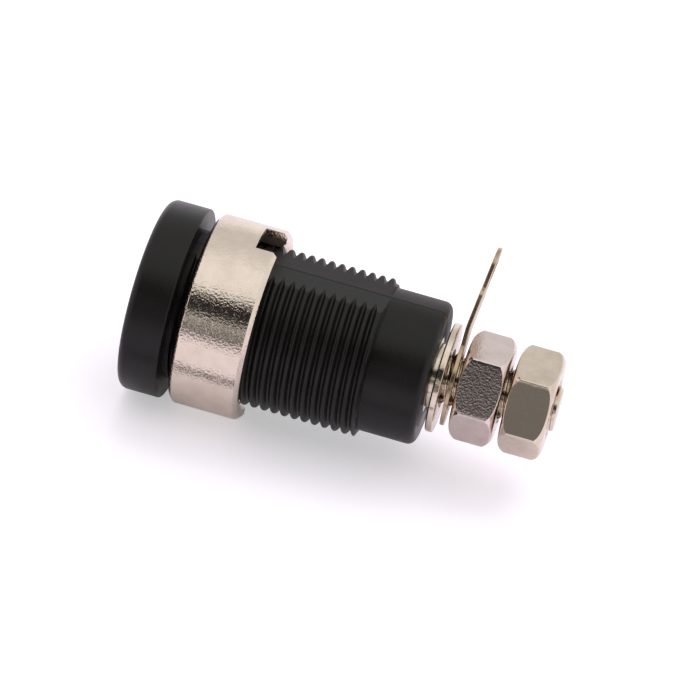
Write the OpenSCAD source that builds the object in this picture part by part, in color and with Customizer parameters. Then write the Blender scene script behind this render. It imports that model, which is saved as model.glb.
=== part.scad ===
// Panel-mounted 4 mm socket and binding post, in millimetres.
// The origin is the centre of the panel seat, on the rear of the front flange.
// +X runs along the barrel towards the terminal stud, and +Z is the normal of the upper barrel flat.

/* [Insulating body] */
// Overhang of the front flange past the ring nut's rim
flange_lip = 0; // [0:0.1:3]
// Thickness of the front flange
flange_t = 3; // [2:0.1:5]
// Rounding of the flange's front rim
flange_round = 0.6; // [0.2:0.05:0.9]
// Rounding of the flange's rear rim
flange_rear_round = 0.15; // [0.05:0.05:0.3]
// Length of the barrel behind the panel seat
barrel_l = 18.5; // [16:0.1:24]
// Diameter of the smooth tail, which is also the width across the two flats
tail_d = 10.5; // [10:0.1:10.8]
// Length of the smooth tail
tail_l = 4.2; // [2:0.1:6]
// Rounding of the tail's rear rim
tail_round = 0.6; // [0.2:0.05:0.9]

/* [Barrel thread] */
// Diameter over the thread crests
thread_d = 11.6; // [11.3:0.05:12.2]
// Pitch of the thread
thread_pitch = 0.75; // [0.6:0.05:1]
// Depth of the thread
thread_depth = 0.33; // [0.2:0.01:0.36]
// Width of each crest
crest_w = 0.24; // [0.1:0.01:0.3]
// Width of the groove floor between two crests
groove_floor_w = 0.12; // [0.05:0.01:0.2]
// Plain relief between the panel seat and the first crest
relief_l = 0.5; // [0.2:0.05:1]
// Distance from the last crest to the start of the smooth tail
runout_l = 0.46; // [0.35:0.01:0.8]

/* [Plug recess and inner sleeve] */
// Diameter of the recess that takes the plug's shroud
recess_d = 8.4; // [8.2:0.05:8.6]
// Lead-in chamfer at the recess mouth
mouth_chamfer = 0.4; // [0.1:0.05:0.6]
// Thickness of the wall that closes the recess at the rear
rear_wall = 3.2; // [2.4:0.1:4]
// Outside diameter of the inner sleeve
sleeve_d = 6.2; // [6:0.05:6.6]
// Setback of the inner sleeve behind the flange's front face
sleeve_setback = 0.4; // [0.2:0.05:1]
// Bore of the sleeve's nose, in front of the metal socket
sleeve_nose_d = 4.4; // [4.3:0.05:4.6]
// Rounding of the sleeve's nose
sleeve_round = 0.4; // [0.1:0.05:0.6]

/* [Contact] */
// Bore of the socket, for a 4 mm plug
socket_d = 4; // [3.9:0.01:4.1]
// Outside diameter of the socket tube
socket_od = 5; // [4.8:0.05:5.3]
// Setback of the metal socket behind the flange's front face
socket_setback = 2.4; // [1.6:0.1:4]
// Lead-in chamfer at the socket mouth
socket_chamfer = 0.25; // [0.1:0.05:0.3]
// Solid metal between the full bore's end and the collar's rear end
bore_web = 2.1; // [1.8:0.1:4]
// Angle of the drill point at the end of the bore
drill_angle = 118; // [90:1:140]
// Diameter of the flange that seats on the recess floor
seat_flange_d = 7.4; // [6.8:0.1:8]
// Thickness of that flange
seat_flange_t = 1.2; // [0.8:0.1:2]
// Diameter of the collar pressed through the rear wall
collar_d = 5.6; // [5.2:0.1:6.2]
// Length of collar that stands out of the rear wall
collar_out = 0.45; // [0.2:0.05:1.5]
// Number of straight knurl grooves round the collar
knurl_n = 24; // [12:1:36]
// Depth of the knurl grooves
knurl_depth = 0.15; // [0.05:0.01:0.25]
// Plain length of collar left at each end of the knurl
knurl_margin = 0.4; // [0.2:0.1:0.8]
// Diameter of the terminal stud
stud_d = 3.9; // [3.8:0.02:4]
// Length of the terminal stud behind the collar
stud_l = 8.7; // [8.7:0.1:16]
// Chamfer at the stud's end
stud_chamfer = 0.45; // [0.2:0.05:0.8]

/* [Ring nut] */
// Wall of the ring nut outside its bore
ring_nut_wall = 1.14; // [0.9:0.02:3]
// Width of the ring nut along the barrel
ring_nut_w = 5.1; // [3:0.1:7]
// Distance of the ring nut from the panel seat
ring_nut_gap = 0.85; // [0.2:0.05:4]
// Chamfer on the ring nut's outer rims
ring_nut_chamfer = 0.3; // [0.1:0.05:0.5]
// Chamfer at both ends of the ring nut's bore
ring_nut_lead = 0.35; // [0.1:0.05:0.6]
// Width of the two spanner slots
slot_w = 3.2; // [2:0.1:4]
// Depth of the spanner slots
slot_depth = 1.6; // [1:0.1:2.4]
// Angle of the slots from the barrel's flats
ring_nut_turn = -3.5; // [-90:0.5:90]

/* [Washer and solder lug] */
// Outside diameter of the washer
washer_d = 8; // [7:0.1:9]
// Thickness of the washer
washer_t = 0.5; // [0.3:0.05:1]
// Thickness of the solder lug's sheet
lug_t = 0.3; // [0.2:0.05:0.5]
// Diameter of the solder lug's ring
lug_ring_d = 6.6; // [6:0.1:7.2]
// Width of the lug's shank
lug_shank_w = 4.2; // [3.4:0.1:5]
// Distance from the stud's axis to the end of the shank
lug_shank_end = 6.8; // [5.5:0.1:7]
// Width of the lug's tip
lug_tip_w = 3; // [2.4:0.1:3.3]
// Distance from the stud's axis to the end of the tip
lug_reach = 10; // [9:0.1:14]
// Diameter of the wire hole
wire_hole_d = 1.6; // [1:0.1:1.8]
// Distance from the wire hole's centre to the end of the tip
wire_hole_inset = 1.6; // [1.2:0.1:2]
// Distance from the stud's axis to the bend in the lug
lug_bend_reach = 3.9; // [3.5:0.1:5]
// Angle of the bend, towards the nuts
lug_bend = 5.7; // [0:0.1:30]
// Angle at which the loose lug leans on the stud
lug_lean = 5; // [0:0.5:5]
// Angle of the lug round the stud, from +Y towards +Z
lug_turn = 57; // [-180:1:180]
// Room for the loose lug between the washer and the clamp nut
lug_room = 1.05; // [1.05:0.05:3]

/* [Hex nuts] */
// Width across the flats of both nuts
nut_af = 7; // [6.8:0.1:8]
// Height of both nuts
nut_h = 3.2; // [2.2:0.1:3.2]
// Diameter of the round face left inside the nut's chamfer
nut_face_d = 6.6; // [6:0.1:6.8]
// Angle of the nut's chamfer from its face
nut_chamfer_angle = 30; // [15:1:35]
// Width of the countersink at the nut's bore
nut_countersink = 0.25; // [0.1:0.05:0.4]
// Gap between the clamp nut and the lock nut
nut_gap = 0.4; // [0.1:0.05:0.4]
// Angle of the clamp nut on the stud
clamp_nut_turn = 0; // [-30:0.5:30]
// Angle of the lock nut on the stud
lock_nut_turn = 7.5; // [-30:0.5:30]

/* [Fits and clearances] */
// Radial clearance of the ring nut over the thread crests
ring_nut_clearance = 0.06; // [0.03:0.01:0.1]
// Radial clearance of the hex nuts on the stud
nut_clearance = 0.05; // [0.03:0.01:0.1]
// Radial clearance of the washer on the stud
washer_clearance = 0.2; // [0.1:0.05:0.4]
// Radial clearance of the lug's ring on the stud
lug_clearance = 0.2; // [0.15:0.05:0.4]
// Radial clearance of pieces that are pressed together
press_clearance = 0.02; // [0.01:0.01:0.05]

/* [Hidden] */
$fn = 96;

// Reach of a cutting tool past the surface that it cuts
cut = 1;
// Steps in each rounded rim
rim_steps = 6;

// Rims of the ring nut and the front flange
ring_nut_r = thread_d / 2 + ring_nut_clearance + ring_nut_wall;
flange_r = ring_nut_r + flange_lip;

// Stations along the barrel, from the panel seat
front_z = -flange_t;
thread_end_z = barrel_l - tail_l;
recess_floor_z = barrel_l - rear_wall;
socket_front_z = front_z + socket_setback;
sleeve_front_z = front_z + sleeve_setback;
seat_flange_z = recess_floor_z - seat_flange_t;
collar_end_z = barrel_l + collar_out;
bore_end_z = collar_end_z - bore_web;
stud_end_z = collar_end_z + stud_l;
washer_z = collar_end_z;
lug_z = washer_z + washer_t + lug_room / 2;
clamp_nut_z = washer_z + washer_t + lug_room;
lock_nut_z = clamp_nut_z + nut_h + nut_gap;

// Thread crests, counted forwards from the last one
root_r = thread_d / 2 - thread_depth;
ridge_foot = (thread_pitch - groove_floor_w) / 2;
last_crest_z = thread_end_z - runout_l;
crest_n = 1 + floor((last_crest_z - relief_l - ridge_foot) / thread_pitch);

// Points of an arc in a revolved profile, from angle a0 to angle a1
function arc(r, z, radius, a0, a1) =
    [for (i = [0:rim_steps])
        let (a = a0 + (a1 - a0) * i / rim_steps)
        [r + radius * cos(a), z + radius * sin(a)]];

// Four corners of one thread crest
function crest(z) = [
    [root_r, z - ridge_foot],
    [thread_d / 2, z - crest_w / 2],
    [thread_d / 2, z + crest_w / 2],
    [root_r, z + ridge_foot]
];

// Lays a shape built along its own Z axis along the barrel, from its X axis to +Y
module along_barrel(z = 0) {
    rotate([90, 0, 90]) translate([0, 0, z]) children();
}

// Outer and inner outline of the insulating body, as radius and station
module housing_profile() {
    tail_r = tail_d / 2;
    recess_r = recess_d / 2;
    wall_hole_r = collar_d / 2 + press_clearance;
    crests = [for (i = [crest_n - 1:-1:0]) each crest(last_crest_z - i * thread_pitch)];
    polygon(concat(
        [[recess_r + mouth_chamfer, front_z]],
        arc(flange_r - flange_round, front_z + flange_round, flange_round, -90, 0),
        arc(flange_r - flange_rear_round, -flange_rear_round, flange_rear_round, 0, 90),
        [[root_r, 0]],
        crests,
        [[root_r, thread_end_z], [tail_r, thread_end_z]],
        arc(tail_r - tail_round, barrel_l - tail_round, tail_round, 0, 90),
        [
            [wall_hole_r, barrel_l],
            [wall_hole_r, recess_floor_z],
            [recess_r, recess_floor_z],
            [recess_r, front_z + mouth_chamfer]
        ]
    ));
}

// One-piece moulding: front flange, threaded barrel with two flats, smooth tail
module housing() {
    color("#242223") along_barrel() difference() {
        rotate_extrude() housing_profile();
        for (side = [0, 180]) {
            rotate([0, 0, side])
                translate([-thread_d / 2, tail_d / 2, 0])
                    cube([thread_d, thread_depth + cut, thread_end_z]);
        }
    }
}

// Insulating tube over the metal socket, with a nose that covers its front end
module inner_sleeve() {
    outer_r = sleeve_d / 2;
    inner_r = socket_od / 2 + press_clearance;
    nose_r = sleeve_nose_d / 2;
    color("#2b292a") along_barrel() rotate_extrude() polygon(concat(
        [[nose_r, sleeve_front_z]],
        arc(outer_r - sleeve_round, sleeve_front_z + sleeve_round, sleeve_round, -90, 0),
        [
            [outer_r, seat_flange_z],
            [inner_r, seat_flange_z],
            [inner_r, socket_front_z],
            [nose_r, socket_front_z]
        ]
    ));
}

// Revolved outline of the socket tube, its flange and collar, and the terminal stud
module contact_profile() {
    bore_r = socket_d / 2;
    stud_r = stud_d / 2;
    polygon([
        [bore_r + socket_chamfer, socket_front_z],
        [socket_od / 2, socket_front_z],
        [socket_od / 2, seat_flange_z],
        [seat_flange_d / 2, seat_flange_z],
        [seat_flange_d / 2, recess_floor_z],
        [collar_d / 2, recess_floor_z],
        [collar_d / 2, collar_end_z],
        [stud_r, collar_end_z],
        [stud_r, stud_end_z - stud_chamfer],
        [stud_r - stud_chamfer, stud_end_z],
        [0, stud_end_z],
        [0, bore_end_z + bore_r / tan(drill_angle / 2)],
        [bore_r, bore_end_z],
        [bore_r, socket_front_z + socket_chamfer]
    ]);
}

// Turned in one piece, with a straight knurl that keeps it from turning in the rear wall
module contact() {
    knurl_l = rear_wall - 2 * knurl_margin;
    color("#cdbba9") along_barrel() difference() {
        rotate_extrude() contact_profile();
        for (i = [0:knurl_n - 1]) {
            rotate([0, 0, i * 360 / knurl_n])
                translate([collar_d / 2, 0, recess_floor_z + knurl_margin])
                    linear_extrude(knurl_l)
                        polygon([[-knurl_depth, 0], [cut, -knurl_depth - cut], [cut, knurl_depth + cut]]);
        }
    }
}

// Round nut for the barrel, with two spanner slots across its rear face
module ring_nut() {
    bore_r = ring_nut_r - ring_nut_wall;
    color("#cdbba9") along_barrel(ring_nut_gap) difference() {
        rotate_extrude() polygon([
            [bore_r + ring_nut_lead, 0],
            [ring_nut_r - ring_nut_chamfer, 0],
            [ring_nut_r, ring_nut_chamfer],
            [ring_nut_r, ring_nut_w - ring_nut_chamfer],
            [ring_nut_r - ring_nut_chamfer, ring_nut_w],
            [bore_r + ring_nut_lead, ring_nut_w],
            [bore_r, ring_nut_w - ring_nut_lead],
            [bore_r, ring_nut_lead]
        ]);
        rotate([0, 0, 90 + ring_nut_turn])
            translate([-ring_nut_r - cut, -slot_w / 2, ring_nut_w - slot_depth])
                cube([2 * (ring_nut_r + cut), slot_w, slot_depth + cut]);
    }
}

// Plain washer against the end of the contact's collar
module washer() {
    color("#d3c3b0") along_barrel(washer_z) difference() {
        cylinder(h = washer_t, d = washer_d);
        translate([0, 0, -cut])
            cylinder(h = washer_t + 2 * cut, r = stud_d / 2 + washer_clearance);
    }
}

// Outline of the lug seen along the stud: ring, shank and round-ended tip
module lug_outline() {
    tip_r = lug_tip_w / 2;
    circle(d = lug_ring_d);
    translate([0, -lug_shank_w / 2]) square([lug_shank_end, lug_shank_w]);
    translate([0, -tip_r]) square([lug_reach - tip_r, lug_tip_w]);
    translate([lug_reach - tip_r, 0]) circle(r = tip_r);
}

// Side view of the bent sheet, with its front face at zero up to the bend
module lug_sheet() {
    tail = lug_reach + cut - lug_bend_reach;
    polygon([
        [-lug_reach, 0],
        [lug_bend_reach, 0],
        [lug_bend_reach + tail * cos(lug_bend), tail * sin(lug_bend)],
        [
            lug_bend_reach + tail * cos(lug_bend) - lug_t * sin(lug_bend),
            tail * sin(lug_bend) + lug_t * cos(lug_bend)
        ],
        [lug_bend_reach - lug_t * tan(lug_bend / 2), lug_t],
        [-lug_reach, lug_t]
    ]);
}

// Stamped sheet lug, loose on the stud, with its tail bent towards the nuts
module solder_lug() {
    rise = lug_t + (lug_reach + cut) * sin(lug_bend);
    hole_along = lug_reach - wire_hole_inset - lug_bend_reach;
    color("#c3a987") along_barrel(lug_z) rotate([-lug_lean, 0, lug_turn]) translate([0, 0, -lug_t / 2])
        difference() {
            intersection() {
                linear_extrude(rise + cut) lug_outline();
                rotate([90, 0, 0]) linear_extrude(lug_reach * 2, center = true) lug_sheet();
            }
            cylinder(h = 2 * cut, r = stud_d / 2 + lug_clearance, center = true);
            translate([lug_bend_reach, 0, 0])
                rotate([0, -lug_bend, 0])
                    translate([hole_along, 0, -cut])
                        cylinder(h = lug_t + 2 * cut, d = wire_hole_d);
        }
}

// Hexagon nut with both ends chamfered, its bore clear of the stud
module hex_nut() {
    corner_r = nut_af / sqrt(3);
    face_r = nut_face_d / 2;
    bore_r = stud_d / 2 + nut_clearance;
    drop = (corner_r - face_r) * tan(nut_chamfer_angle);
    intersection() {
        cylinder(h = nut_h, r = corner_r, $fn = 6);
        rotate_extrude() polygon([
            [bore_r + nut_countersink, 0],
            [face_r, 0],
            [corner_r, drop],
            [corner_r, nut_h - drop],
            [face_r, nut_h],
            [bore_r + nut_countersink, nut_h],
            [bore_r, nut_h - nut_countersink],
            [bore_r, nut_countersink]
        ]);
    }
}

// Nut that clamps the lug and washer against the collar
module clamp_nut() {
    color("#c9b7a6") along_barrel(clamp_nut_z) rotate([0, 0, clamp_nut_turn]) hex_nut();
}

// Second nut, which locks the first
module lock_nut() {
    color("#c9b7a6") along_barrel(lock_nut_z) rotate([0, 0, lock_nut_turn]) hex_nut();
}

housing();
inner_sleeve();
contact();
ring_nut();
washer();
solder_lug();
clamp_nut();
lock_nut();
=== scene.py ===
"""Panel-mounted 4 mm socket and binding post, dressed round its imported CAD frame.

The axis of the barrel is X, with the terminal stud at +X. The panel seat is at X = 0.
Lengths are in millimetres until a mesh is made, and angles round the barrel run from +Y towards +Z.
"""

import math

import bmesh
import bpy
import numpy as np
from mathutils import Matrix, Vector
from mathutils.geometry import delaunay_2d_cdt


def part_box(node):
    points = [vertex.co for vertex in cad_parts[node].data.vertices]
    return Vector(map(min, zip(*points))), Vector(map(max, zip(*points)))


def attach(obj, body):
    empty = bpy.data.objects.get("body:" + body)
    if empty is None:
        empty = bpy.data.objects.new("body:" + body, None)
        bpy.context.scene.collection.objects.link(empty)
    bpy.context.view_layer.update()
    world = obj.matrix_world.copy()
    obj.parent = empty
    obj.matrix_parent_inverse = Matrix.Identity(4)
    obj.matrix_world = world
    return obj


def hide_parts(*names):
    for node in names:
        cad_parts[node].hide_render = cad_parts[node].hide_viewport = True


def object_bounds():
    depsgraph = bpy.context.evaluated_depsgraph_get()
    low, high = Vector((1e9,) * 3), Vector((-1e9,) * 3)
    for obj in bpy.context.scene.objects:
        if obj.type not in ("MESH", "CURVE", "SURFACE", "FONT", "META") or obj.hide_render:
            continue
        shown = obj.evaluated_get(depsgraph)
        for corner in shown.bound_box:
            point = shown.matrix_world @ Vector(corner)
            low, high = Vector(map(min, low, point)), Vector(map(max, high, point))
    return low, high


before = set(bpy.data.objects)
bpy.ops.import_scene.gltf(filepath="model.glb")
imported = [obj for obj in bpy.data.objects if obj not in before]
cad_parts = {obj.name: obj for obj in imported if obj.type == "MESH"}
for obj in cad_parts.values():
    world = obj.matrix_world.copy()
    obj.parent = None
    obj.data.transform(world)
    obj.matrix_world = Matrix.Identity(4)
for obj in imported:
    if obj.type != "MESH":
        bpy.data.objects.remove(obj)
cad_low, cad_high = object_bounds()

MM = 0.001
TURN = 2 * math.pi
CREASE = math.radians(32)
WELD = 2e-7


# ---------------------------------------------------------------- shapes

def box_mm(node):
    """Lowest and highest corner of a CAD node, in millimetres."""
    low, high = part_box(node)
    return low / MM, high / MM


def smooth(start, end, value):
    """Rises smoothly from 0 at start to 1 at end."""
    share = np.clip((value - start) / (end - start), 0, 1)
    return share * share * (3 - 2 * share)


def rounded(corners, steps=5, closed=True):
    """Outline points from corners given as (a, b, rounding); a rounding of 0 leaves a corner sharp."""
    points = []
    count = len(corners)
    for k, (a, b, radius) in enumerate(corners):
        here = np.array([a, b], float)
        at_end = not closed and k in (0, count - 1)
        if not radius or at_end:
            points.append(here)
            continue
        back = np.array(corners[k - 1][:2]) - here
        ahead = np.array(corners[(k + 1) % count][:2]) - here
        back /= np.linalg.norm(back)
        ahead /= np.linalg.norm(ahead)
        middle = back + ahead
        half = math.acos(float(np.clip(back @ ahead, -1, 1))) / 2
        centre = here + middle / np.linalg.norm(middle) * radius / math.sin(half)
        first = here + back * radius / math.tan(half) - centre
        last = here + ahead * radius / math.tan(half) - centre
        angle_0 = math.atan2(first[1], first[0])
        sweep = (math.atan2(last[1], last[0]) - angle_0 + math.pi) % TURN - math.pi
        for i in range(steps + 1):
            angle = angle_0 + sweep * i / steps
            points.append(centre + radius * np.array([math.cos(angle), math.sin(angle)]))
    return np.array(points)


def ring(station, radius, angles):
    """A row of points round the barrel's axis."""
    angles = np.asarray(angles, float)
    station = np.broadcast_to(station, angles.shape)
    radius = np.broadcast_to(radius, angles.shape)
    return np.stack([station, radius * np.cos(angles), radius * np.sin(angles)], axis=-1)


def turned(profile, angles):
    """Rows for a turned shape, from its (station, radius) profile."""
    return [ring(station, radius, angles) for station, radius in profile]


def helix(tooth, pitch, crest, start, end, angles, radius_of):
    """Rows that follow a right-hand thread between two stations.

    tooth is (offset from the crest, height) over one pitch, crest the station of a crest at angle 0,
    and radius_of(height, station, angle) the radius of each point.
    """
    rows = []
    first = math.floor((start - crest) / pitch) - 2
    last = math.ceil((end - crest) / pitch) + 1
    for turn in range(first, last + 1):
        for offset, height in tooth:
            station = crest + turn * pitch + offset + pitch * angles / TURN
            if station.max() < start - 1e-9 or station.min() > end + 1e-9:
                continue
            station = np.clip(station, start, end)
            rows.append(ring(station, radius_of(height, station, angles), angles))
    return rows


def vee(pitch, depth, crest_w, root_w, crest_round, root_round, steps):
    """One thread tooth, as (offset, height) from the middle of one root to the next."""
    foot = (pitch - root_w) / 2
    corners = [
        (-pitch / 2, 0, 0),
        (-foot, 0, root_round),
        (-crest_w / 2, depth, crest_round),
        (crest_w / 2, depth, crest_round),
        (foot, 0, root_round),
        (pitch / 2, 0, 0),
    ]
    return rounded(corners, steps, closed=False)[:-1]


def piece(name, work):
    """A mesh object from a bmesh, with its creases marked."""
    bmesh.ops.recalc_face_normals(work, faces=work.faces)
    mesh = bpy.data.meshes.new(name)
    work.to_mesh(mesh)
    work.free()
    mesh.shade_smooth()
    mesh.set_sharp_from_angle(angle=CREASE)
    made = bpy.data.objects.new(name, mesh)
    bpy.context.scene.collection.objects.link(made)
    return made


def skin(name, rows, closed=True):
    """A mesh through rows of points, welded wherever rows or their ends meet."""
    grid = np.array(rows, float) * MM
    rows_n, columns_n = grid.shape[:2]
    index = np.arange(rows_n * columns_n).reshape(rows_n, columns_n)
    here, after = (index, np.roll(index, -1, axis=0)) if closed else (index[:-1], index[1:])
    corners = [here[:, :-1], here[:, 1:], after[:, 1:], after[:, :-1]]
    faces = np.stack(corners, axis=-1).reshape(-1, 4)
    mesh = bpy.data.meshes.new(name + "_grid")
    mesh.from_pydata(grid.reshape(-1, 3).tolist(), [], faces.tolist())
    work = bmesh.new()
    work.from_mesh(mesh)
    bpy.data.meshes.remove(mesh)
    bmesh.ops.remove_doubles(work, verts=work.verts, dist=WELD)
    return piece(name, work)


def settle(made):
    """Makes a piece's modifiers part of its mesh."""
    graph = bpy.context.evaluated_depsgraph_get()
    mesh = bpy.data.meshes.new_from_object(made.evaluated_get(graph))
    made.modifiers.clear()
    made.data = mesh
    mesh.shade_smooth()
    mesh.set_sharp_from_angle(angle=CREASE)


# ---------------------------------------------------------------- insulating body

housing_low, housing_high = box_mm("housing")
FRONT = housing_low.x
REAR = housing_high.x
FLANGE_R = housing_high.z
FLANGE_ROUND = 0.6
FLANGE_REAR_ROUND = 0.15
TAIL_R = 5.25
TAIL_ROUND = 0.6
TAIL_LENGTH = 4.2
THREAD_END = REAR - TAIL_LENGTH
THREAD_R = 5.8
THREAD_PITCH = 0.75
THREAD_DEPTH = 0.33
THREAD_ROOT_R = THREAD_R - THREAD_DEPTH
LAST_CREST_INSET = 0.46
LAST_CREST = THREAD_END - LAST_CREST_INSET
LAST_CREST_ANGLE = math.radians(57)
RELIEF = 0.5
RELIEF_FADE = 0.15
RUNOUT = 0.16
RECESS_R = 4.2
MOUTH_CHAMFER = 0.4
REAR_WALL = 3.2
RECESS_FLOOR = REAR - REAR_WALL
WALL_HOLE_R = 2.82
PARTING_W = 0.06
PARTING_DEPTH = 0.05
ARC_STEPS = 38
FLAT_STEPS = 9


def barrel_row(station, height):
    """One row of the double-D barrel that follows its thread, with a mould parting groove on each flat."""

    def station_at(angle):
        return np.clip(station + THREAD_PITCH * angle / TURN, 0, THREAD_END)

    def radius_at(angle):
        along = station_at(angle)
        fade = smooth(RELIEF - RELIEF_FADE, RELIEF + RELIEF_FADE, along)
        fade = fade * smooth(THREAD_END, THREAD_END - RUNOUT, along)
        return THREAD_ROOT_R + height * fade

    edges = []
    for base, sign in ((0, 1), (math.pi, -1), (math.pi, 1), (TURN, -1)):
        angle = base + sign * math.asin(TAIL_R / THREAD_ROOT_R)
        for _ in range(4):
            angle = base + sign * math.asin(TAIL_R / float(radius_at(angle)))
        edges.append(angle)

    def flat(angle_0, angle_1, side):
        across_0 = TAIL_R * math.cos(angle_0) / abs(math.sin(angle_0))
        across_1 = TAIL_R * math.cos(angle_1) / abs(math.sin(angle_1))
        lip = math.copysign(PARTING_W, across_0)
        across = np.concatenate([
            np.linspace(across_0, lip, FLAT_STEPS),
            [0],
            np.linspace(-lip, across_1, FLAT_STEPS),
        ])
        depth = np.where(across == 0, TAIL_R - PARTING_DEPTH, TAIL_R)
        return across, side * depth

    def arc(angle_0, angle_1, steps):
        angle = np.linspace(angle_0, angle_1, steps + 1)
        radius = radius_at(angle)
        return radius * np.cos(angle), radius * np.sin(angle)

    spans = [
        arc(0, edges[0], ARC_STEPS),
        flat(edges[0], edges[1], 1),
        arc(edges[1], edges[2], 2 * ARC_STEPS),
        flat(edges[2], edges[3], -1),
        arc(edges[3], TURN, ARC_STEPS),
    ]
    y = np.concatenate([span[0][1 if i else 0:] for i, span in enumerate(spans)])
    z = np.concatenate([span[1][1 if i else 0:] for i, span in enumerate(spans)])
    angle = np.unwrap(np.arctan2(z, y))
    return np.stack([station_at(angle), y, z], axis=-1)


def make_housing():
    plain = barrel_row(-2 * THREAD_PITCH, 0)
    angles = np.unwrap(np.arctan2(plain[:, 2], plain[:, 1]))
    groove = np.where(np.abs(plain[:, 1]) < 1e-9, PARTING_DEPTH, 0)
    front = rounded([
        (FRONT + MOUTH_CHAMFER, RECESS_R, 0.05),
        (FRONT, RECESS_R + MOUTH_CHAMFER, 0.08),
        (FRONT, FLANGE_R, FLANGE_ROUND),
        (0, FLANGE_R, FLANGE_REAR_ROUND),
        (0, THREAD_ROOT_R + 0.2, 0),
    ], 8, closed=False)
    tooth = vee(THREAD_PITCH, THREAD_DEPTH, 0.18, 0.14, 0.15, 0.06, 3)
    crest_0 = LAST_CREST - THREAD_PITCH * LAST_CREST_ANGLE / TURN
    rows = turned(front, angles)
    first = math.floor(-crest_0 / THREAD_PITCH) - 1
    for turn in range(first, 2):
        for offset, height in tooth:
            station = crest_0 + turn * THREAD_PITCH + offset
            if station > THREAD_END + THREAD_PITCH / 8 or station < -1.2 * THREAD_PITCH:
                continue
            rows.append(barrel_row(station, height))
    tail = rounded([
        (THREAD_END, TAIL_R, 0),
        (REAR, TAIL_R, TAIL_ROUND),
        (REAR, WALL_HOLE_R, 0),
    ], 8, closed=False)
    for station, radius in tail[:-1]:
        rows.append(ring(station, radius - groove, angles))
    rows += turned([
        (REAR, WALL_HOLE_R),
        (RECESS_FLOOR, WALL_HOLE_R),
        (RECESS_FLOOR, RECESS_R),
    ], angles)
    return skin("housing_moulding", rows)


housing = make_housing()

# ---------------------------------------------------------------- inner sleeve

sleeve_low, sleeve_high = box_mm("inner_sleeve")
SLEEVE_R = sleeve_high.z
SLEEVE_NOSE_R = 2.2
SLEEVE_BORE_R = 2.52
contact_low, contact_high = box_mm("contact")
SOCKET_FRONT = contact_low.x

CIRCLE = np.linspace(0, TURN, 145)

inner_sleeve = skin("inner_sleeve_tube", turned(rounded([
    (sleeve_low.x, SLEEVE_NOSE_R, 0.15),
    (sleeve_low.x, SLEEVE_R, 0.4),
    (sleeve_high.x, SLEEVE_R, 0),
    (sleeve_high.x, SLEEVE_BORE_R, 0),
    (SOCKET_FRONT, SLEEVE_BORE_R, 0),
    (SOCKET_FRONT, SLEEVE_NOSE_R, 0),
]), CIRCLE))

# ---------------------------------------------------------------- contact

SOCKET_BORE_R = 2.0
SOCKET_R = 2.5
SEAT_R = 3.7
SEAT_T = 1.2
SEAT_FRONT = RECESS_FLOOR - SEAT_T
COLLAR_R = 2.8
COLLAR_NECK_R = 2.35
washer_low, washer_high = box_mm("washer")
COLLAR_END = washer_low.x
STUD_END = contact_high.x
STUD_R = 1.95
STUD_PITCH = 0.7
STUD_DEPTH = 0.36
STUD_CHAMFER = 0.45
COLLAR_SHOULDER = REAR - 0.05
SOCKET_LEAD = 0.25
BORE_INSET = 2.1
DRILL_HALF_ANGLE = math.radians(59)
BORE_END = COLLAR_END - BORE_INSET
DRILL_TIP = BORE_END + SOCKET_BORE_R / math.tan(DRILL_HALF_ANGLE)


def stud_radius(height, station, angle):
    """Radius of the stud's thread, which runs out at the collar and is chamfered at the end."""
    runout = smooth(COLLAR_END + 0.2, COLLAR_END + 0.5, station)
    return np.minimum(
        STUD_R - STUD_DEPTH + height * runout,
        STUD_R - (station - (STUD_END - STUD_CHAMFER)),
    )


def make_contact():
    socket = rounded([
        (DRILL_TIP, 0, 0),
        (BORE_END, SOCKET_BORE_R, 0),
        (SOCKET_FRONT + SOCKET_LEAD, SOCKET_BORE_R, 0.1),
        (SOCKET_FRONT, SOCKET_BORE_R + SOCKET_LEAD, 0.05),
        (SOCKET_FRONT, SOCKET_R, 0.08),
        (SEAT_FRONT, SOCKET_R, 0.1),
        (SEAT_FRONT, SEAT_R, 0.1),
        (RECESS_FLOOR, SEAT_R, 0),
        (RECESS_FLOOR, COLLAR_R, 0),
        (COLLAR_SHOULDER, COLLAR_R, 0),
        (COLLAR_SHOULDER, COLLAR_NECK_R, 0),
        (COLLAR_END, COLLAR_NECK_R, 0.08),
        (COLLAR_END, STUD_R - STUD_DEPTH, 0),
    ], 3, closed=False)
    rows = turned(socket, CIRCLE)
    tooth = vee(STUD_PITCH, STUD_DEPTH, 0.1, 0.12, 0.04, 0.04, 2)
    rows += helix(tooth, STUD_PITCH, COLLAR_END, COLLAR_END, STUD_END, CIRCLE, stud_radius)
    rows.append(ring(STUD_END, STUD_R - STUD_CHAMFER - 0.05, CIRCLE))
    rows.append(ring(STUD_END, 0, CIRCLE))
    return skin("contact_pin", rows, closed=False)


contact = make_contact()

# ---------------------------------------------------------------- ring nut

nut_low, nut_high = box_mm("ring_nut")
RING_NUT_R = nut_high.z
RING_NUT_WALL = 1.14
RING_NUT_BORE_R = RING_NUT_R - RING_NUT_WALL
RING_NUT_CHAMFER = 0.3
RING_NUT_LEAD = 0.35
SLOT_W = 3.2
SLOT_DEPTH = 1.6
SLOT_ANGLE = math.radians(86.5)
RING_NUT_EDGE = 0.07


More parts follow.
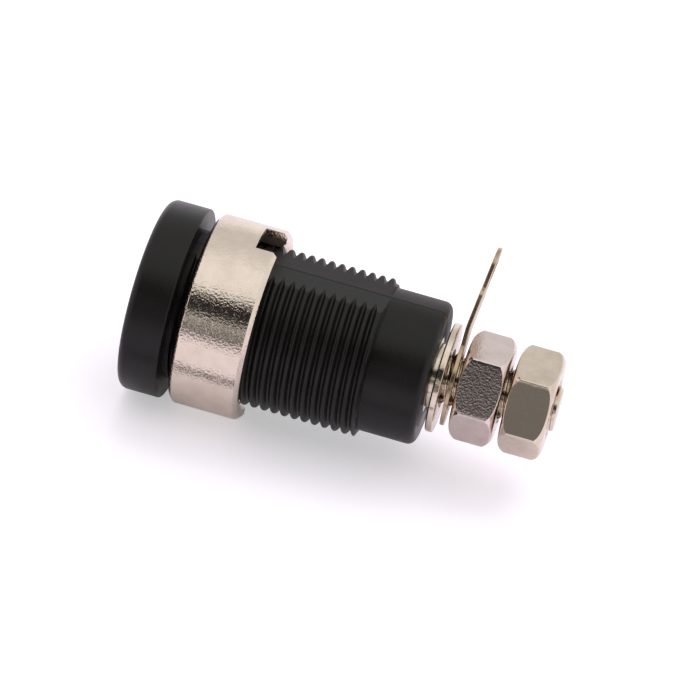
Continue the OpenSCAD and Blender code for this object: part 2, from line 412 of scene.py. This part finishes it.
def make_ring_nut():
    made = skin("ring_nut_turned", turned([
        (nut_low.x, RING_NUT_BORE_R + RING_NUT_LEAD),
        (nut_low.x, RING_NUT_R - RING_NUT_CHAMFER),
        (nut_low.x + RING_NUT_CHAMFER, RING_NUT_R),
        (nut_high.x - RING_NUT_CHAMFER, RING_NUT_R),
        (nut_high.x, RING_NUT_R - RING_NUT_CHAMFER),
        (nut_high.x, RING_NUT_BORE_R + RING_NUT_LEAD),
        (nut_high.x - RING_NUT_LEAD, RING_NUT_BORE_R),
        (nut_low.x + RING_NUT_LEAD, RING_NUT_BORE_R),
    ], np.linspace(0, TURN, 193)))
    mill = bpy.data.meshes.new("slot_mill")
    work = bmesh.new()
    bmesh.ops.create_cube(work, size=1)
    reach = 3 * RING_NUT_R
    size = Matrix.Diagonal((2 * SLOT_DEPTH * MM, reach * MM, SLOT_W * MM, 1))
    turn = Matrix.Rotation(SLOT_ANGLE, 4, "X")
    work.transform(Matrix.Translation((nut_high.x * MM, 0, 0)) @ turn @ size)
    work.to_mesh(mill)
    work.free()
    cutter = bpy.data.objects.new("slot_mill", mill)
    bpy.context.scene.collection.objects.link(cutter)
    slot = made.modifiers.new("slots", "BOOLEAN")
    slot.operation = "DIFFERENCE"
    slot.solver = "EXACT"
    slot.object = cutter
    rims = made.modifiers.new("rims", "BEVEL")
    rims.width = RING_NUT_EDGE * MM
    rims.segments = 3
    rims.limit_method = "ANGLE"
    rims.angle_limit = math.radians(35)
    settle(made)
    bpy.data.objects.remove(cutter)
    return made


ring_nut = make_ring_nut()

# ---------------------------------------------------------------- washer and solder lug

WASHER_BORE_R = 2.15
washer = skin("washer_stamped", turned(rounded([
    (washer_low.x, WASHER_BORE_R, 0.06),
    (washer_low.x, washer_high.z, 0.14),
    (washer_high.x, washer_high.z, 0.07),
    (washer_high.x, WASHER_BORE_R, 0.1),
], 4), CIRCLE))

LUG_T = 0.3
LUG_RING_R = 3.3
LUG_BORE_R = 2.15
LUG_SHANK_W = 4.2
LUG_SHANK_END = 6.8
LUG_TIP_R = 1.5
LUG_REACH = 10.0
WIRE_HOLE_R = 0.8
WIRE_HOLE_INSET = 1.6
LUG_BEND_REACH = 3.9
LUG_BEND_START = LUG_BEND_REACH - 0.4
LUG_BEND_END = LUG_BEND_REACH + 0.4
LUG_BEND = math.radians(5.7)
LUG_LEAN = math.radians(-2)
LUG_TURN = math.radians(57)
LUG_EDGE = 0.05
clamp_low, clamp_high = box_mm("clamp_nut")
LUG_STATION = (washer_high.x + clamp_low.x) / 2


def circle(radius, centre, steps):
    """Points round a circle in the plane of the sheet."""
    angles = np.linspace(0, TURN, steps, endpoint=False)
    return np.stack([centre + radius * np.cos(angles), radius * np.sin(angles)], axis=-1)


def sheet_faces(work, outline, holes):
    """Fills a flat outline with triangles, leaving its round holes open."""
    points, edges = [], []
    for path in [outline, *(circle(radius, centre, 48) for radius, centre in holes)]:
        first, count = len(points), len(path)
        points += [Vector(p) for p in path]
        edges += [(first + i, first + (i + 1) % count) for i in range(count)]
    filled = delaunay_2d_cdt(points, edges, [], 1, 1e-6)
    verts = [work.verts.new((p.x, p.y, 0)) for p in filled[0]]
    for triangle in filled[2]:
        middle = sum((filled[0][i] for i in triangle), Vector((0, 0))) / 3
        if all((middle - Vector((centre, 0))).length > radius * 0.99 for radius, centre in holes):
            work.faces.new([verts[i] for i in triangle])


def make_solder_lug():
    half = LUG_SHANK_W / 2
    meet = math.asin(half / LUG_RING_R)
    outline = [(LUG_RING_R * math.cos(a), LUG_RING_R * math.sin(a), 0)
               for a in np.linspace(meet, TURN - meet, 72)]
    outline += [(LUG_SHANK_END, -half, 0.5), (LUG_SHANK_END, -LUG_TIP_R, 0.1)]
    outline += [(LUG_REACH - LUG_TIP_R + LUG_TIP_R * math.cos(a), LUG_TIP_R * math.sin(a), 0)
                for a in np.linspace(-math.pi / 2, math.pi / 2, 28)]
    outline += [(LUG_SHANK_END, LUG_TIP_R, 0.1), (LUG_SHANK_END, half, 0.5)]
    work = bmesh.new()
    sheet_faces(work, rounded(outline, 4), (
        (LUG_BORE_R, 0), (WIRE_HOLE_R, LUG_REACH - WIRE_HOLE_INSET)))
    for station in np.linspace(LUG_BEND_START, LUG_BEND_END, 6):
        everything = work.verts[:] + work.edges[:] + work.faces[:]
        bmesh.ops.bisect_plane(work, geom=everything, plane_co=(station, 0, 0), plane_no=(1, 0, 0))
    raised = bmesh.ops.extrude_face_region(work, geom=work.faces[:])
    top = [v for v in raised["geom"] if isinstance(v, bmesh.types.BMVert)]
    bmesh.ops.translate(work, verts=top, vec=(0, 0, LUG_T))
    bmesh.ops.recalc_face_normals(work, faces=work.faces)
    rims = [e for e in work.edges if len(e.link_faces) == 2 and e.calc_face_angle(0) > 1.2
            and abs(e.verts[0].co.z - e.verts[1].co.z) < 1e-4]
    bmesh.ops.bevel(work, geom=rims, offset=LUG_EDGE, segments=3, profile=0.5, affect="EDGES")
    along = np.linspace(0, LUG_REACH + 1, 600)
    lean = LUG_BEND * smooth(LUG_BEND_START, LUG_BEND_END, along)
    step = along[1]
    reach = np.concatenate([[0], np.cumsum(np.cos(lean[:-1]) * step)])
    rise = np.concatenate([[0], np.cumsum(np.sin(lean[:-1]) * step)])
    for v in work.verts:
        s, n = v.co.x, v.co.z
        if s <= 0:
            continue
        angle = np.interp(s, along, lean)
        v.co.x = np.interp(s, along, reach) - n * math.sin(angle)
        v.co.z = np.interp(s, along, rise) + n * math.cos(angle)
    along_barrel = Matrix(((0, 0, 1, 0), (1, 0, 0, 0), (0, 1, 0, 0), (0, 0, 0, 1)))
    place = Matrix.Scale(MM, 4) @ along_barrel @ Matrix.Translation((0, 0, LUG_STATION))
    place = place @ Matrix.Rotation(LUG_TURN, 4, "Z") @ Matrix.Rotation(-LUG_LEAN, 4, "X")
    work.transform(place @ Matrix.Translation((0, 0, -LUG_T / 2)))
    return piece("solder_lug_stamped", work)


solder_lug = make_solder_lug()

# ---------------------------------------------------------------- hex nuts

NUT_AF = 7.0
NUT_BORE_R = 2.0
NUT_COUNTERSINK = 0.25
NUT_DOME = 0.9
NUT_CORNER_ROUND = 0.15
NUT_EDGE = 0.08
NUT_TOOTH = 0.2
LOCK_NUT_TURN = math.radians(7.5)


def hex_outline(turn):
    """Polar angle and radius of points round the hexagon, from the middle of one flat."""
    corners = [(NUT_AF / math.sqrt(3) * math.cos(turn + k * TURN / 6),
                NUT_AF / math.sqrt(3) * math.sin(turn + k * TURN / 6), NUT_CORNER_ROUND)
               for k in range(6)]
    bends = rounded(corners, 4)
    points = []
    for k, here in enumerate(bends):
        after = bends[(k + 1) % len(bends)]
        steps = max(1, round(float(np.linalg.norm(after - here)) / 0.25))
        steps += steps % 2
        points += [here + (after - here) * i / steps for i in range(steps)]
    points = np.array(points)
    angle = np.arctan2(points[:, 1], points[:, 0])
    start = int(np.argmin(np.hypot(points[:, 0], points[:, 1])))
    angle = np.unwrap(np.roll(angle, -start))
    radius = np.roll(np.hypot(points[:, 0], points[:, 1]), -start)
    return np.append(angle, angle[0] + TURN), np.append(radius, radius[0])


def make_nut(name, low, high, turn):
    """A hexagon nut with both ends domed at its corners, its edges broken and its bore threaded."""
    angles, across = hex_outline(turn)
    face_r = across.max() - NUT_DOME
    width = across - face_r
    end = []
    for share in (0, 0.2, 0.4, 0.6, 0.8, 1 - NUT_EDGE / width):
        reach = width * share
        drop = NUT_DOME - np.sqrt(NUT_DOME ** 2 - reach ** 2)
        end.append((drop, face_r + reach))
    end.append((end[-1][0] + NUT_EDGE, across))
    rows = [ring(low, NUT_BORE_R + NUT_COUNTERSINK, angles)]
    rows += [ring(low + drop, radius, angles) for drop, radius in end]
    rows += [ring(high - drop, radius, angles) for drop, radius in reversed(end)]
    rows.append(ring(high, NUT_BORE_R + NUT_COUNTERSINK, angles))
    tooth = vee(STUD_PITCH, NUT_TOOTH, 0.12, 0.18, 0.04, 0.04, 2)

    def bore(height, station, angle):
        inset = np.minimum(station - low, high - station)
        return np.maximum(NUT_BORE_R + NUT_TOOTH - height, NUT_BORE_R + NUT_COUNTERSINK - inset)

    rows += helix(tooth, STUD_PITCH, low, low, high, angles, bore)[::-1]
    return skin(name, rows)


lock_low, lock_high = box_mm("lock_nut")
clamp_nut = make_nut("clamp_nut_hex", clamp_low.x, clamp_high.x, 0)
lock_nut = make_nut("lock_nut_hex", lock_low.x, lock_high.x, LOCK_NUT_TURN)


# ---------------------------------------------------------------- finishes

def linear(hex_colour):
    """An sRGB hex colour as linear red, green, blue and alpha."""
    parts = [int(hex_colour[i:i + 2], 16) / 255 for i in (1, 3, 5)]
    return [c / 12.92 if c <= 0.04045 else ((c + 0.055) / 1.055) ** 2.4 for c in parts] + [1]


def node(tree, kind, inputs=None, **settings):
    """Adds a node with its settings; each input is a value or the socket that is linked to it."""
    made = tree.nodes.new(kind)
    for key, value in settings.items():
        setattr(made, key, value)
    for key, value in (inputs or {}).items():
        if isinstance(value, bpy.types.NodeSocket):
            tree.links.new(value, made.inputs[key])
        else:
            made.inputs[key].default_value = value
    return made


def new_material(name):
    made = bpy.data.materials.new(name)
    made.use_nodes = True
    made.node_tree.nodes.clear()
    return made, made.node_tree


POLYAMIDE_IOR = 1.53
POLYAMIDE_SHINE = 0.26
# A lighter brown grey mixed into the +Y half of the housing: painted light on that side.
PAINTED_LIT_SIDE_COLOUR = "#5a5054"
PLASTIC_PATCH = 2.5
PLATE_PATCH = 1.4


def black_polyamide(name, shade, worn, grain_mm, roughness, depth_mm, painted_lit_side=0.0):
    """Black polyamide, injection moulded in a spark-eroded mould: a fine even grain with a soft sheen.

    The last argument is how much rougher the half at +Y is, behind the panel seat, and how far its colour
    is mixed towards a lighter brown grey, as painted light on that side; 0 leaves both alike.
    """
    made, tree = new_material(name)
    place = node(tree, "ShaderNodeTexCoord").outputs["Object"]
    grain = node(tree, "ShaderNodeTexNoise", {
        "Vector": place, "Scale": 1 / (grain_mm * MM), "Detail": 3.0, "Roughness": 0.6})
    patches = node(tree, "ShaderNodeTexNoise", {
        "Vector": place, "Scale": 1 / (PLASTIC_PATCH * MM), "Detail": 3.0, "Roughness": 0.6})
    gloss = node(tree, "ShaderNodeMapRange", {
        "Value": patches.outputs["Fac"], "From Min": 0.3, "From Max": 0.7,
        "To Min": roughness - 0.05, "To Max": roughness + 0.06})
    # Mask of the half at +Y behind the panel seat, which gets more roughness and a painted lighter colour
    # standing in for light on that side.
    side = node(tree, "ShaderNodeSeparateXYZ", {0: place})
    far_half = node(tree, "ShaderNodeMapRange", {
        "Value": side.outputs["Y"], "From Min": -PARTING_W / 2 * MM, "From Max": PARTING_W / 2 * MM,
        "To Max": painted_lit_side})
    behind_seat = node(tree, "ShaderNodeMath", {0: side.outputs["X"], 1: 0.0}, operation="GREATER_THAN")
    rough_and_lit_side_mask = node(tree, "ShaderNodeMath", {
        0: far_half.outputs["Result"], 1: behind_seat.outputs[0]}, operation="MULTIPLY")
    gloss = node(tree, "ShaderNodeMath", {0: gloss.outputs["Result"], 1: rough_and_lit_side_mask.outputs[0]}, operation="ADD")
    bump = node(tree, "ShaderNodeBump", {
        "Height": grain.outputs["Fac"], "Strength": 1.0, "Distance": depth_mm * MM})
    tone = node(tree, "ShaderNodeMix", {
        "Factor": patches.outputs["Fac"], "A": linear(shade), "B": linear(worn)},
        data_type="RGBA")
    # Painted light: the masked +Y half is mixed towards the lighter brown grey.
    tone = node(tree, "ShaderNodeMix", {
        "Factor": rough_and_lit_side_mask.outputs[0], "A": tone.outputs["Result"], "B": linear(PAINTED_LIT_SIDE_COLOUR)}, data_type="RGBA")
    shader = node(tree, "ShaderNodeBsdfPrincipled", {
        "Base Color": tone.outputs["Result"], "Roughness": gloss.outputs[0],
        "IOR": POLYAMIDE_IOR, "Specular IOR Level": POLYAMIDE_SHINE, "Normal": bump.outputs["Normal"]})
    node(tree, "ShaderNodeOutputMaterial", {"Surface": shader.outputs["BSDF"]})
    return made


def nickel(name, shade, tarnish, roughness, peel_mm, peel_depth_mm, detail=2.0):
    """Nickel-plated brass: warm grey plate over turned metal, with an orange peel and faint tarnish."""
    made, tree = new_material(name)
    place = node(tree, "ShaderNodeTexCoord").outputs["Object"]
    peel = node(tree, "ShaderNodeTexNoise", {
        "Vector": place, "Scale": 1 / (peel_mm * MM), "Detail": detail, "Roughness": 0.1 * detail + 0.3})
    bump = node(tree, "ShaderNodeBump", {
        "Height": peel.outputs["Fac"], "Strength": 1.0, "Distance": peel_depth_mm * MM})
    patches = node(tree, "ShaderNodeTexNoise", {
        "Vector": place, "Scale": 1 / (PLATE_PATCH * MM), "Detail": 4.0, "Roughness": 0.65})
    share = node(tree, "ShaderNodeMapRange", {
        "Value": patches.outputs["Fac"], "From Min": 0.35, "From Max": 0.7})
    tone = node(tree, "ShaderNodeMix", {
        "Factor": share.outputs["Result"], "A": linear(shade), "B": linear(tarnish)}, data_type="RGBA")
    gloss = node(tree, "ShaderNodeMapRange", {
        "Value": patches.outputs["Fac"], "From Min": 0.3, "From Max": 0.7,
        "To Min": roughness - 0.02, "To Max": roughness + 0.05})
    shader = node(tree, "ShaderNodeBsdfPrincipled", {
        "Base Color": tone.outputs["Result"], "Metallic": 1.0, "Roughness": gloss.outputs["Result"],
        "Normal": bump.outputs["Normal"]})
    node(tree, "ShaderNodeOutputMaterial", {"Surface": shader.outputs["BSDF"]})
    return made


# The housing's +Y half behind the seat is roughened and lightened with painted light.
housing_plastic = black_polyamide("black_polyamide_moulded", "#100e0d", "#1a1715", 0.1, 0.32, 0.012, 0.16)
sleeve_plastic = black_polyamide("black_polyamide_sleeve", "#0f0e0d", "#161413", 0.1, 0.36, 0.004)
ring_nickel = nickel("nickel_plate_tumbled", "#ebdccd", "#e0cfbf", 0.07, 0.15, 0.024)
contact_nickel = nickel("nickel_plate_turned", "#e3d6c6", "#d6c6b2", 0.16, 0.15, 0.006)
washer_nickel = nickel("nickel_plate_washer", "#eadccb", "#d8c6b0", 0.14, 0.3, 0.014)
lug_tin = nickel("tinned_brass_lug", "#cbb498", "#b59b7e", 0.24, 0.25, 0.008)
clamp_nickel = nickel("nickel_plate_clamp_nut", "#eedfd9", "#e0cec7", 0.08, 0.15, 0.013, 3.0)
lock_nickel = nickel("nickel_plate_lock_nut", "#ebdccb", "#dac8b5", 0.1, 0.3, 0.004)

for made, body, replaced, slot_name, finish in (
    (housing, "socket", "housing", "housing_plastic", housing_plastic),
    (inner_sleeve, "socket", "inner_sleeve", "sleeve_plastic", sleeve_plastic),
    (contact, "socket", "contact", "contact_metal", contact_nickel),
    (washer, "socket", "washer", "washer_metal", washer_nickel),
    (ring_nut, "ring_nut", "ring_nut", "ring_nut_metal", ring_nickel),
    (solder_lug, "solder_lug", "solder_lug", "lug_metal", lug_tin),
    (clamp_nut, "clamp_nut", "clamp_nut", "clamp_nut_metal", clamp_nickel),
    (lock_nut, "lock_nut", "lock_nut", "lock_nut_metal", lock_nickel),
):
    made.data.materials.clear()
    made.data.materials.append(finish)
    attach(made, body)
    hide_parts(replaced)

# ---------------------------------------------------------------- floor, light and camera

CAMERA_RISE = math.radians(33)
CAMERA_SWING = math.radians(6.2)
CAMERA_ROLL = math.radians(15.95)
CAMERA_AIM = 11.35
CAMERA_LIFT = 0.53
CAMERA_DISTANCE = 0.2689
FLOOR_SIZE = 0.4
FLOOR_GAP = 0.02
FLOOR_LIFT = 0.44
FLOOR_MIRRORED = 0.17
FLAG_HALF_LENGTH = 30
FLAG_HALF_WIDTH = 0.8
FLAG_OUT = 12.5
FLAG_UP = 0.2
SIDE_WALL = 0.9
SIDE_START = 0.45
SIDE_FULL = 0.8
toward = Vector((
    math.sin(CAMERA_SWING),
    -math.cos(CAMERA_SWING) * math.cos(CAMERA_RISE),
    math.cos(CAMERA_SWING) * math.sin(CAMERA_RISE),
))
upright = Vector((0, math.sin(CAMERA_RISE), math.cos(CAMERA_RISE)))

camera_data = bpy.data.cameras.new("camera")
camera_data.lens = 200
camera_data.sensor_width = 36
camera_data.clip_start = 0.01
camera_data.clip_end = 5
camera = bpy.data.objects.new("camera", camera_data)
bpy.context.scene.collection.objects.link(camera)
across = upright.cross(toward).normalized()
level_up = toward.cross(across)
right = across * math.cos(CAMERA_ROLL) + level_up * math.sin(CAMERA_ROLL)
up = level_up * math.cos(CAMERA_ROLL) - across * math.sin(CAMERA_ROLL)
aim = Vector((CAMERA_AIM, 0, 0)) * MM + upright * CAMERA_LIFT * MM
stand = aim + toward * CAMERA_DISTANCE
camera.matrix_world = Matrix((
    (right.x, up.x, toward.x, stand.x),
    (right.y, up.y, toward.y, stand.y),
    (right.z, up.z, toward.z, stand.z),
    (0, 0, 0, 1),
))
bpy.context.scene.camera = camera
bpy.context.scene.view_settings.view_transform = "Standard"

floor_work = bmesh.new()
bmesh.ops.create_grid(floor_work, x_segments=4, y_segments=4, size=FLOOR_SIZE)
floor = piece("floor", floor_work)
floor.location = (aim.x, 0, cad_low.z - FLOOR_GAP * MM)
floor_paper, tree = new_material("white_paper")
path = node(tree, "ShaderNodeLightPath")
paper = node(tree, "ShaderNodeBsdfDiffuse", {"Color": linear("#e6deea")})
mirrored = node(tree, "ShaderNodeMath", {
    0: path.outputs["Is Glossy Ray"], 1: FLOOR_MIRRORED}, operation="MULTIPLY")
lift = node(tree, "ShaderNodeEmission", {
    "Color": (1, 1, 1, 1),
    "Strength": node(tree, "ShaderNodeMath", {
        0: path.outputs["Is Camera Ray"], 1: FLOOR_LIFT, 2: mirrored.outputs[0]},
        operation="MULTIPLY_ADD").outputs[0]})
both = node(tree, "ShaderNodeAddShader", {0: paper.outputs[0], 1: lift.outputs[0]})
node(tree, "ShaderNodeOutputMaterial", {"Surface": both.outputs[0]})
floor.data.materials.append(floor_paper)

# A thin black flag in front of the object, which only the polished metal shows.
flag_work = bmesh.new()
bmesh.ops.create_grid(flag_work, x_segments=1, y_segments=1, size=1)
flag_work.transform(Matrix.Diagonal((FLAG_HALF_LENGTH * MM, FLAG_HALF_WIDTH * MM, 1, 1)))
flag = piece("black_flag", flag_work)
flag.location = (aim.x, -FLAG_OUT * MM, floor.location.z + FLAG_UP * MM)
flag.visible_camera = False
flag.visible_diffuse = False
flag.visible_shadow = False
flag_felt, tree = new_material("black_felt")
felt = node(tree, "ShaderNodeBsdfDiffuse", {"Color": linear("#1c1a19")})
node(tree, "ShaderNodeOutputMaterial", {"Surface": felt.outputs[0]})
flag.data.materials.append(flag_felt)

# The world is a soft tent with a darker opening round the lens.
world = bpy.data.worlds.new("soft_tent")
bpy.context.scene.world = world
world.use_nodes = True
tree = world.node_tree
tree.nodes.clear()
direction = node(tree, "ShaderNodeTexCoord").outputs["Generated"]
facing = node(tree, "ShaderNodeVectorMath", {
    0: direction, 1: (0, -math.cos(CAMERA_RISE), math.sin(CAMERA_RISE))}, operation="DOT_PRODUCT")
rising = node(tree, "ShaderNodeVectorMath", {0: direction, 1: tuple(upright)}, operation="DOT_PRODUCT")
bearing = node(tree, "ShaderNodeMath", {
    0: rising.outputs["Value"], 1: facing.outputs["Value"]}, operation="ARCTAN2")
share = node(tree, "ShaderNodeMapRange", {
    "Value": bearing.outputs[0], "From Min": -math.pi, "From Max": math.pi})
tent = node(tree, "ShaderNodeValToRGB", {"Fac": share.outputs["Result"]})
ramp = tent.color_ramp
ramp.interpolation = "EASE"
# Brightness of the tent by degrees round the X axis, from the way the camera looks.
stops = (
    (-180, 0.85), (-60, 0.95), (-42, 0.95), (-36, 0.2), (-18.5, 0.17), (-15.5, 0.8),
    (-13, 0.8), (-9.5, 0.08), (-2, 0.04), (4, 0.02), (15, 0.02), (22, 0.95),
    (56, 1.0), (76, 0.82), (95, 0.72), (118, 0.72), (132, 1.0), (180, 1.0),
)
while len(ramp.elements) > 1:
    ramp.elements.remove(ramp.elements[-1])
for k, (degrees, level) in enumerate(stops):
    spot = ramp.elements[0] if k == 0 else ramp.elements.new((degrees + 180) / 360)
    spot.position = (degrees + 180) / 360
    spot.color = (level, level, level, 1)
sideways = node(tree, "ShaderNodeSeparateXYZ", {0: direction})
aside = node(tree, "ShaderNodeMath", {0: sideways.outputs["X"]}, operation="ABSOLUTE")
far_aside = node(tree, "ShaderNodeMapRange", {
    "Value": aside.outputs[0], "From Min": SIDE_START, "From Max": SIDE_FULL},
    interpolation_type="SMOOTHSTEP")
walls = node(tree, "ShaderNodeMix", {
    "Factor": far_aside.outputs["Result"], "A": tent.outputs["Color"],
    "B": (SIDE_WALL, SIDE_WALL, SIDE_WALL, 1)}, data_type="RGBA")
path = node(tree, "ShaderNodeLightPath")
seen = node(tree, "ShaderNodeMix", {
    "Factor": path.outputs["Is Camera Ray"], "A": walls.outputs["Result"], "B": (1, 1, 1, 1)},
    data_type="RGBA")
sky = node(tree, "ShaderNodeBackground", {"Color": seen.outputs["Result"], "Strength": 1.0})
node(tree, "ShaderNodeOutputWorld", {"Surface": sky.outputs[0]})

key_data = bpy.data.lights.new("overhead_softbox", "AREA")
key_data.shape = "RECTANGLE"
key_data.size = 0.3
key_data.size_y = 0.2
key_data.energy = 0.3
key = bpy.data.objects.new("overhead_softbox", key_data)
bpy.context.scene.collection.objects.link(key)
key.location = aim + Vector((0.02, 0.12, 0.25))
key.rotation_mode = "QUATERNION"
key.rotation_quaternion = (key.location - aim).to_track_quat("Z", "Y")
key.visible_glossy = False
